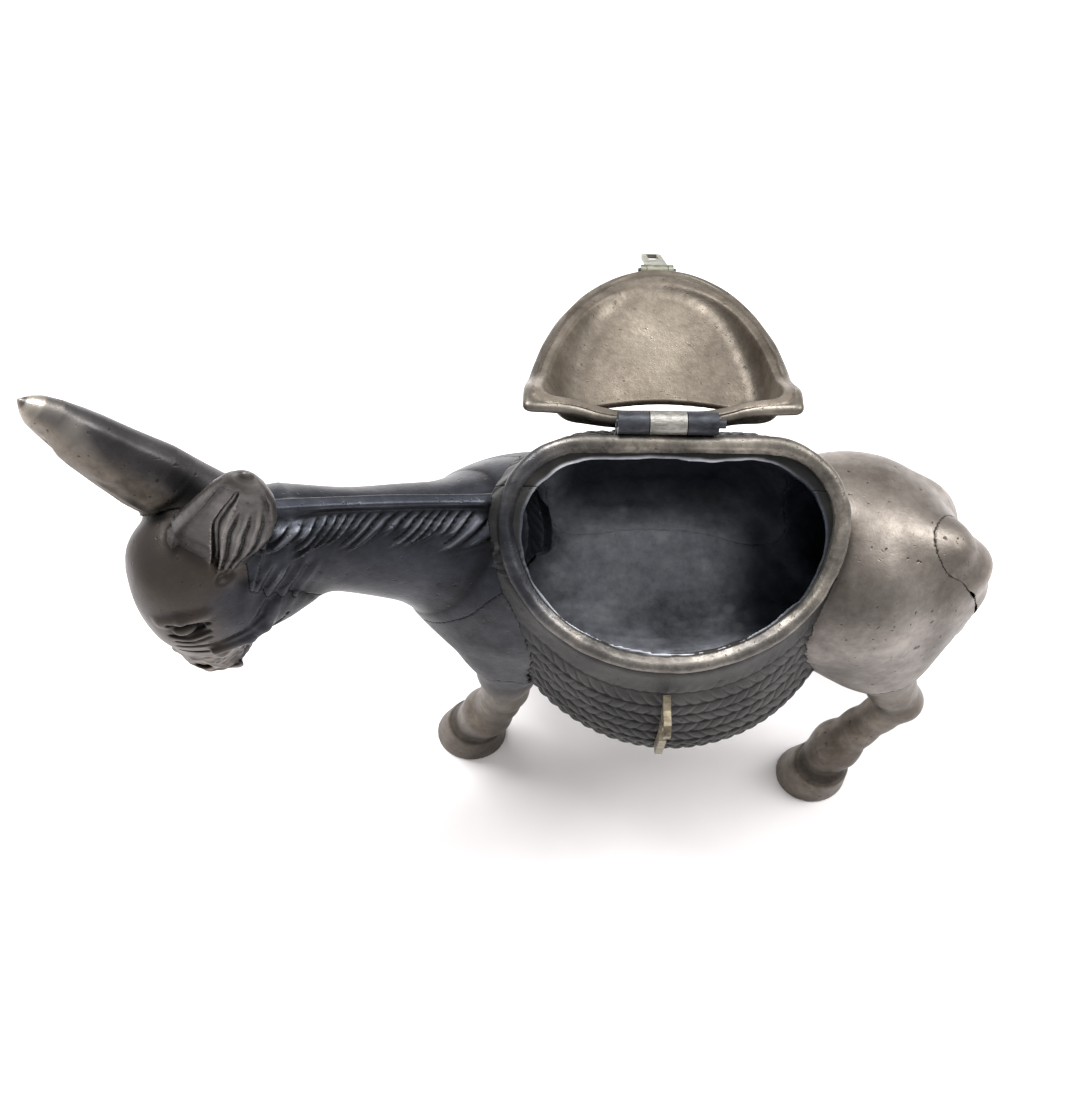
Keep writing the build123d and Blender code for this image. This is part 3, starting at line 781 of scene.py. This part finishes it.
def maths(tree, kind, a, b=0.0):
    node = tree.nodes.new("ShaderNodeMath")
    node.operation = kind
    for socket, value in zip(node.inputs, (a, b)):
        if isinstance(value, (int, float)):
            socket.default_value = value
        else:
            tree.links.new(value, socket)
    return node.outputs[0]


# dark, middle and light tones, as stops of a colour ramp
NIGHT = ((0.34, (0.012, 0.013, 0.017)), (0.50, (0.026, 0.028, 0.036)), (0.66, (0.060, 0.062, 0.073)))
GRIME = ((0.36, (0.008, 0.010, 0.016)), (0.52, (0.022, 0.027, 0.040)), (0.68, (0.06, 0.065, 0.085)))
# painted light: the pale tones of the cavity's floor, as if lit through the mouth
PAINTED_FLOOR_LIGHT = ((0.36, (0.12, 0.125, 0.145)), (0.52, (0.40, 0.415, 0.46)), (0.68, (0.72, 0.74, 0.78)))
BLOOM = (0.90, 0.92, 0.95)
LINING_ROUGHNESS = (0.62, 0.62, 0.62)


def tarnished(name, dark, mid, light, metal=0.8, rough=(0.32, 0.55), patch=55.0, pits=0.5, tint=None,
              wear=1.0):
    """Old white metal: mottled tarnish, painted shade in hollows, rubbed bright on edges, finely pitted.

    The mark dusk blackens it: tarnish, and painted shade on the far ear's lower side. In the cavity, lining
    makes it grimy, and pale paints its floor light as if lit (painted light), with real white oxide spots."""
    mat, tree, shader = new_material(name)
    coords = tree.nodes.new("ShaderNodeTexCoord").outputs["Object"]
    hollow = mark_value(tree, "hollow")
    lining = mark_value(tree, "lining")
    broad = noise(tree, coords, patch, 5.0, 0.6)
    fine = noise(tree, coords, patch * 9, 6.0, 0.7)
    mixed = maths(tree, "ADD", maths(tree, "MULTIPLY", broad, 0.72), maths(tree, "MULTIPLY", fine, 0.28))
    colour = curve(tree, mixed, ((0.34, dark), (0.50, mid), (0.66, light)))
    if tint is not None:
        drift = noise(tree, coords, patch * 0.45, 2.0)
        colour = mix(tree, curve(tree, drift, ((0.42, 0.0), (0.6, 1.0))), colour, tint)
    patches = curve(tree, broad, ((0.30, 1.0), (0.72, 0.85)))
    dusk = maths(tree, "MULTIPLY", mark_value(tree, "dusk"), patches)
    colour = mix(tree, dusk, colour, curve(tree, mixed, NIGHT))
    # painted shade: hollows and creases are darkened in the colour itself
    shade = curve(tree, hollow, ((0.02, 1.0), (0.35, 0.35), (0.8, 0.08)))
    colour = mix(tree, 1.0, colour, shade, "MULTIPLY")
    proud = maths(tree, "MULTIPLY", hollow, -1.0)
    rub = maths(tree, "MULTIPLY", curve(tree, proud, ((0.04, 0.0), (0.3, wear))), broad)
    bright = tuple(min(c * 1.9 + 0.06, 0.9) for c in light)
    colour = mix(tree, rub, colour, bright)
    spots = noise(tree, coords, patch * 14, 2.0, 0.5)
    pit = curve(tree, spots, ((0.27, 1.0), (0.33, 0.0)))
    colour = mix(tree, maths(tree, "MULTIPLY", pit, pits), colour, tuple(c * 0.3 for c in dark))
    grime_and_light = curve(tree, mixed, GRIME)
    cells = tree.nodes.new("ShaderNodeTexVoronoi")
    cells.inputs["Scale"].default_value = 190.0
    cells.inputs["Randomness"].default_value = 1.0
    tree.links.new(coords, cells.inputs["Vector"])
    pale = mark_value(tree, "pale")
    # painted light: pale lightens the lining of the cavity's floor as if lit; the white spots below are real
    # oxide
    grime_and_light = mix(tree, pale, grime_and_light, curve(tree, mixed, PAINTED_FLOOR_LIGHT))
    bloom = maths(tree, "MULTIPLY", curve(tree, cells.outputs["Distance"], ((0.13, 1.0), (0.30, 0.0))),
                  curve(tree, noise(tree, coords, 42.0, 3.0), ((0.50, 0.0), (0.66, 0.8))))
    bloom = maths(tree, "MULTIPLY", bloom, pale)
    grime_and_light = mix(tree, bloom, grime_and_light, BLOOM)
    colour = mix(tree, lining, colour, grime_and_light)
    tree.links.new(colour, shader.inputs["Base Color"])
    dull = maths(tree, "MULTIPLY", lining, 0.75 * metal)
    tree.links.new(maths(tree, "SUBTRACT", metal, dull), shader.inputs["Metallic"])
    gloss = curve(tree, mixed, ((0.3, rough[1]), (0.7, rough[0])))
    tree.links.new(mix(tree, lining, gloss, LINING_ROUGHNESS), shader.inputs["Roughness"])
    relief = maths(tree, "ADD", maths(tree, "MULTIPLY", fine, 0.5), maths(tree, "MULTIPLY", pit, -pits))
    grain = noise(tree, coords, 2600.0, 3.0)
    relief = maths(tree, "ADD", relief, maths(tree, "MULTIPLY", grain, 0.16))
    bump = tree.nodes.new("ShaderNodeBump")
    bump.inputs["Strength"].default_value = 0.35
    bump.inputs["Distance"].default_value = 0.0004
    tree.links.new(relief, bump.inputs["Height"])
    tree.links.new(bump.outputs["Normal"], shader.inputs["Normal"])
    return mat


head_metal = tarnished(
    "head_metal", (0.040, 0.030, 0.023), (0.082, 0.064, 0.050), (0.165, 0.138, 0.112),
    wear=0.5, tint=(0.050, 0.042, 0.038))
neck_metal = tarnished(
    "neck_metal", (0.014, 0.015, 0.020), (0.032, 0.035, 0.045), (0.075, 0.078, 0.092), rough=(0.28, 0.48))
body_metal = tarnished(
    "body_metal", (0.105, 0.088, 0.075), (0.20, 0.176, 0.155), (0.34, 0.305, 0.27), pits=0.9)
leg_metal = tarnished(
    "leg_metal", (0.045, 0.036, 0.028), (0.10, 0.084, 0.068), (0.19, 0.165, 0.14))
pack_metal = tarnished(
    "pack_metal", (0.005, 0.005, 0.0055), (0.012, 0.0115, 0.0115), (0.034, 0.032, 0.029),
    metal=0.5, wear=0.6, rough=(0.40, 0.62))
rim_metal = tarnished(
    "rim_metal", (0.055, 0.050, 0.044), (0.165, 0.15, 0.13), (0.36, 0.325, 0.28),
    rough=(0.30, 0.52), wear=0.7, patch=110.0)
ear_metal = tarnished(
    "ear_metal", (0.062, 0.051, 0.041), (0.125, 0.107, 0.089), (0.23, 0.203, 0.172), pits=0.8)
near_ear_metal = tarnished(
    "near_ear_metal", (0.028, 0.025, 0.023), (0.066, 0.060, 0.057), (0.135, 0.125, 0.117), wear=0.8)
lid_metal = tarnished(
    "lid_metal", (0.060, 0.048, 0.036), (0.135, 0.112, 0.088), (0.25, 0.215, 0.172), metal=0.6, patch=80.0)
bead_metal = tarnished(
    "bead_metal", (0.050, 0.044, 0.036), (0.115, 0.102, 0.086), (0.24, 0.215, 0.18), metal=0.75)


def plain_steel(name, dark, light, metal, rough, grain_scale, bump_depth):
    """Machine-made metal parts: fine directional grain, slight stains, worn."""
    mat, tree, shader = new_material(name)
    coords = tree.nodes.new("ShaderNodeTexCoord").outputs["Object"]
    stretch = tree.nodes.new("ShaderNodeMapping")
    stretch.inputs["Scale"].default_value = (0.35, 1.0, 1.0)
    tree.links.new(coords, stretch.inputs["Vector"])
    grain = noise(tree, stretch.outputs["Vector"], grain_scale, 5.0, 0.65)
    stain = noise(tree, coords, 380.0, 4.0)
    both = maths(tree, "ADD", maths(tree, "MULTIPLY", grain, 0.55), maths(tree, "MULTIPLY", stain, 0.45))
    colour = curve(tree, both, ((0.36, dark), (0.64, light)))
    tree.links.new(colour, shader.inputs["Base Color"])
    shader.inputs["Metallic"].default_value = metal
    tree.links.new(curve(tree, both, ((0.3, rough + 0.14), (0.7, rough))), shader.inputs["Roughness"])
    bump = tree.nodes.new("ShaderNodeBump")
    bump.inputs["Strength"].default_value = 0.5
    bump.inputs["Distance"].default_value = bump_depth
    tree.links.new(grain, bump.inputs["Height"])
    tree.links.new(bump.outputs["Normal"], shader.inputs["Normal"])
    return mat


dark_steel = plain_steel(
    "dark_steel", (0.020, 0.021, 0.026), (0.075, 0.078, 0.090), 0.8, 0.36, 1500.0, 0.00008)
bright_knuckle = plain_steel(
    "bright_knuckle", (0.13, 0.125, 0.115), (0.42, 0.41, 0.38), 0.9, 0.36, 2400.0, 0.00016)
dull_hasp = plain_steel(
    "dull_hasp", (0.085, 0.088, 0.068), (0.26, 0.262, 0.205), 0.8, 0.4, 1800.0, 0.0001)
worn_lug = plain_steel(
    "worn_lug", (0.045, 0.038, 0.028), (0.30, 0.255, 0.18), 0.8, 0.36, 900.0, 0.00015)

STEEL_PARTS = {
    "body_hinge_leaf": dark_steel, "body_hinge_rivets": dark_steel, "hinge_pin": dark_steel,
    "lid_hinge_leaf": bright_knuckle, "lid_hinge_rivets": bright_knuckle,
    "hasp_bracket": dull_hasp, "hasp_pin": dark_steel, "hasp": dull_hasp, "staple": worn_lug}
for node, material in STEEL_PARTS.items():
    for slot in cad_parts[node].material_slots:
        slot.material = material


# ---------------------------------------------------------------- make the pieces
ALL_LEGS = list(LEGS)


def lit_floor(p):
    """Where the lining is painted pale as if lit (painted light), with white oxide spots: the floor of the
    box, not its far wall or its tail end.
    """
    return ramp(p[:, 0], -5, 5) * (1 - ramp(p[:, 0], 32, 43)) * (1 - ramp(p[:, 1], 12, 21))


def cheek(p):
    """The cheek and throat are blacker than the face."""
    f, n, u = head_local(p)
    return ramp(n, 3, 7) * ramp(-f, -5, 2) * ramp(18 - u, 0, 6)


# painted shade: the far ear's lower side, which faces the floor, is blackened in its colour
def ear_underside_shade(p):
    _, _, w, _, half = ear_form(p, **FAR_EAR)
    return 0.8 * ramp(w / half, 0.25, 0.8)


def body_tarnish(p):
    """The chest is black, and the flanks are a little darker than the back."""
    return np.maximum(1 - ramp(p[:, 0], 4, 30), 0.35 * ramp(-p[:, 1], 8, 16))


def rim_darkening(p):
    """The rim is black towards the neck and darkened by about half at its near side."""
    return np.maximum((1 - ramp(p[:, 0], -4, 14)) * ramp(12 - p[:, 1], 0, 10), 0.45 * ramp(-p[:, 1], 14, 22))


sculpt("torso_casting", casting("torso", ["neck", "tail", "pack"] + ALL_LEGS, hollowed=True),
       (-26, -24, 38), (82, 24, 88), GRID, "donkey", ["torso"], body_metal, cavity=hollow_form,
       tones={"dusk": body_tarnish, "pale": lit_floor})
sculpt("neck_casting", casting("neck", ["torso", "head", "pack", "ear_near"]),
       (-52, -26, 48), (2, 18, 100), FINE, "donkey", ["neck"], neck_metal)
sculpt("head_casting", casting("head", ["neck", "ear_far", "ear_near"]),
       (-74, -32, 52), (-38, 6, 101), FINE, "donkey", ["head"], head_metal, tones={"dusk": cheek})
sculpt("far_ear_casting", casting("ear_far", ["head"]),
       (-84, -14, 86), (-50, 9, 119), FINE, "donkey", ["ear_far"], ear_metal,
       tones={"dusk": ear_underside_shade})
sculpt("near_ear_casting", casting("ear_near", ["head", "neck"]),
       (-64, -25, 84), (-36, -5, 124), FINE, "donkey", ["ear_near"], near_ear_metal)
for leg, (_, foot_y, body_y, _) in LEGS.items():
    low_y, high_y = min(foot_y, body_y) - 12, max(foot_y, body_y) + 12
    low_x, high_x = (-24, 16) if leg.startswith("fore") else (44, 84)
    sculpt(leg + "_casting", casting(leg, ["torso", "pack"]),
           (low_x, low_y, -1), (high_x, high_y, 64), GRID, "donkey", [leg], leg_metal,
           tones={"dusk": lambda p: ramp(p[:, 2], 30, 46) * (1 - ramp(p[:, 0], 20, 30))})
sculpt("tail_casting", casting("tail", ["torso"]),
       (60, -10, 44), (86, 7, 88), GRID, "donkey", ["tail"], body_metal)
sculpt("near_pack_casting", casting("pack", ["torso", "neck"], hollowed=True, extra=lambda p: p[:, 1]),
       (-12, -35, 43), (58, 3, 98), FINE, "donkey", ["pack_near"], pack_metal, cavity=hollow_form,
       tones={"pale": lit_floor})
sculpt("far_pack_casting", casting("pack", ["torso", "neck"], hollowed=True, extra=lambda p: -p[:, 1]),
       (-12, -3, 43), (58, 30, 99), FINE, "donkey", ["pack_far"], pack_metal, cavity=hollow_form,
       tones={"pale": lit_floor})
sculpt("rim_casting", rim_form, (-11, -29, 70), (53, 10, 100), FINE, "donkey", ["rim"], rim_metal,
       tones={"dusk": rim_darkening})
sculpt("lid_casting", lid_form,
       (-6, -44, -4.5), (46, 6, 13), FINE, "lid", ["lid_shell"], lid_metal, place_lid)
sculpt("lid_bead_casting", lid_bead_form,
       (-6, -44, -4.5), (46, 6, 5), FINE, "lid", ["lid_bead"], bead_metal, place_lid)


# ---------------------------------------------------------------- stage, light and camera
def floor():
    mesh = bpy.data.meshes.new("floor")
    side = 3.0
    corners = [(-side, -side, 0), (side, -side, 0), (side, side, 0), (-side, side, 0)]
    mesh.from_pydata(corners, [], [(0, 1, 2, 3)])
    mat, tree, shader = new_material("pale_floor")
    shader.inputs["Roughness"].default_value = 0.7
    coords = tree.nodes.new("ShaderNodeTexCoord").outputs["Object"]
    speck = noise(tree, coords, 60.0, 3.0)
    colour = curve(tree, speck, ((0.3, (0.90, 0.872, 0.876)), (0.7, (0.93, 0.905, 0.908))))
    tree.links.new(colour, shader.inputs["Base Color"])
    mesh.materials.append(mat)
    ground = bpy.data.objects.new("floor", mesh)
    bpy.context.scene.collection.objects.link(ground)


def soft_light(name, place, aim, size, power):
    data = bpy.data.lights.new(name, "AREA")
    data.shape = "RECTANGLE"
    data.size, data.size_y = size
    data.energy = power
    lamp = bpy.data.objects.new(name, data)
    lamp.location = place
    lamp.rotation_euler = (Vector(aim) - Vector(place)).to_track_quat("-Z", "Y").to_euler()
    bpy.context.scene.collection.objects.link(lamp)


floor()
soft_light("top_softbox", (-0.25, 0.30, 0.80), (0, 0, 0.05), (0.5, 0.35), 11.0)
soft_light("right_softbox", (0.55, 0.10, 0.70), (0, 0, 0.05), (0.35, 0.35), 6.0)
world = bpy.data.worlds.new("studio")
world.use_nodes = True
world.node_tree.nodes["Background"].inputs["Color"].default_value = (1.0, 0.99, 0.98, 1)
world.node_tree.nodes["Background"].inputs["Strength"].default_value = 0.70
bpy.context.scene.world = world
bpy.context.scene.view_settings.view_transform = "Standard"


# azimuth, elevation and roll in degrees, and places in millimetres
CAMERA_ANGLES = (-4.2, 63.66, 4.33)
CAMERA_TARGET = (0.0, 1.44, 62.76)
CAMERA_DISTANCE = 260.0
SENSOR = 36.0
FOCAL_SHARE = 1430.0 / 1080.0   # focal length over the width of the view


def camera():
    """Looks down on the near side from above, close in, as one photographs a small thing on a table."""
    azimuth, elevation, roll = (math.radians(a) for a in CAMERA_ANGLES)
    target = np.array(CAMERA_TARGET) + OFFSET
    right = Vector((math.cos(azimuth), math.sin(azimuth), 0))
    level = math.cos(elevation)
    back = Vector((math.sin(azimuth) * level, -math.cos(azimuth) * level, math.sin(elevation)))
    up = back.cross(right)
    tilted_right = right * math.cos(roll) + up * math.sin(roll)
    tilted_up = up * math.cos(roll) - right * math.sin(roll)
    data = bpy.data.cameras.new("camera")
    data.sensor_fit = "HORIZONTAL"
    data.sensor_width = SENSOR
    data.lens = SENSOR * FOCAL_SHARE
    data.clip_start = 0.01
    data.clip_end = 20.0
    eye = bpy.data.objects.new("camera", data)
    bpy.context.scene.collection.objects.link(eye)
    place = Vector(target * MM) + back * CAMERA_DISTANCE * MM
    rows = [[tilted_right[i], tilted_up[i], back[i], place[i]] for i in range(3)] + [[0, 0, 0, 1]]
    eye.matrix_world = Matrix(rows)
    bpy.context.scene.camera = eye


camera()
